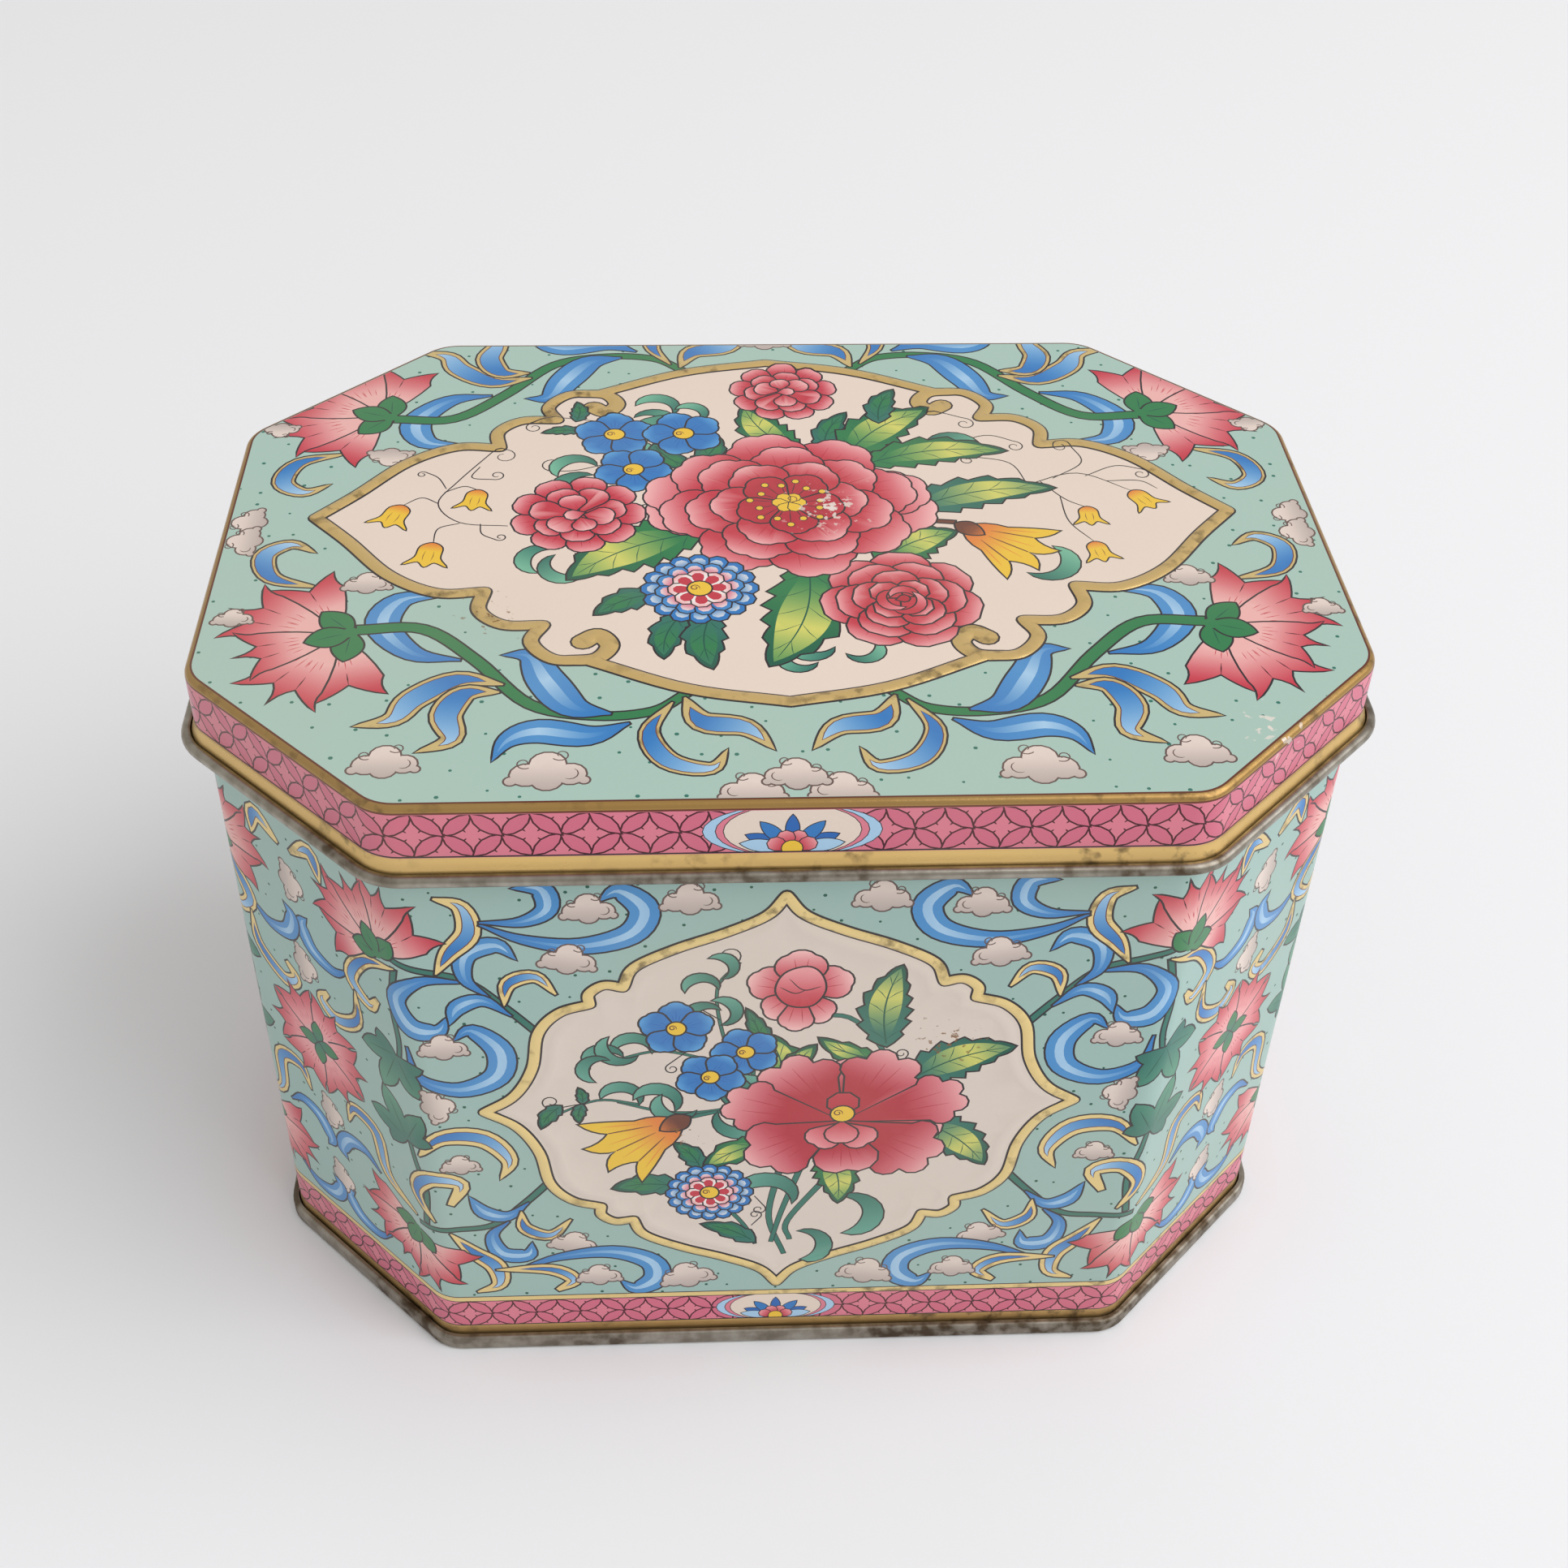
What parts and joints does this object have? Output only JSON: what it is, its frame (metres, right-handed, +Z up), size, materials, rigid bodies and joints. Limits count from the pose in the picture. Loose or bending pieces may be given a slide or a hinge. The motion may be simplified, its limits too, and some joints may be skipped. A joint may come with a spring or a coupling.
{
  "type": "octagonal biscuit tin",
  "caption": "Octagonal printed tinplate biscuit tin with a deep body, a seamed base and a lift-off lid with a rolled edge.",
  "frame": {"origin": "centre of the footprint, on the plane the tin stands on", "axes": "+X along the long side, -Y towards the front panel, +Z up, the way the lid lifts"},
  "size_m": [0.1642, 0.1196, 0.1131],
  "materials": {
    "lid_print": "gloss lithographed tinplate, floral print with gold lines",
    "body_print": "gloss lithographed tinplate, floral print with gold lines",
    "tinplate": "bare tinplate, tarnished at the seam"
  },
  "bodies": {
    "tin": {"body_wall": "body_print", "base_plate": "tinplate"},
    "lid": {"lid_shell": "lid_print"}
  },
  "joints": [
    {"name": "lid_lift", "type": "slide", "parent": "tin", "child": "lid", "axis": [0, 0, 1], "range_m": [0, 0.08]}
  ]
}
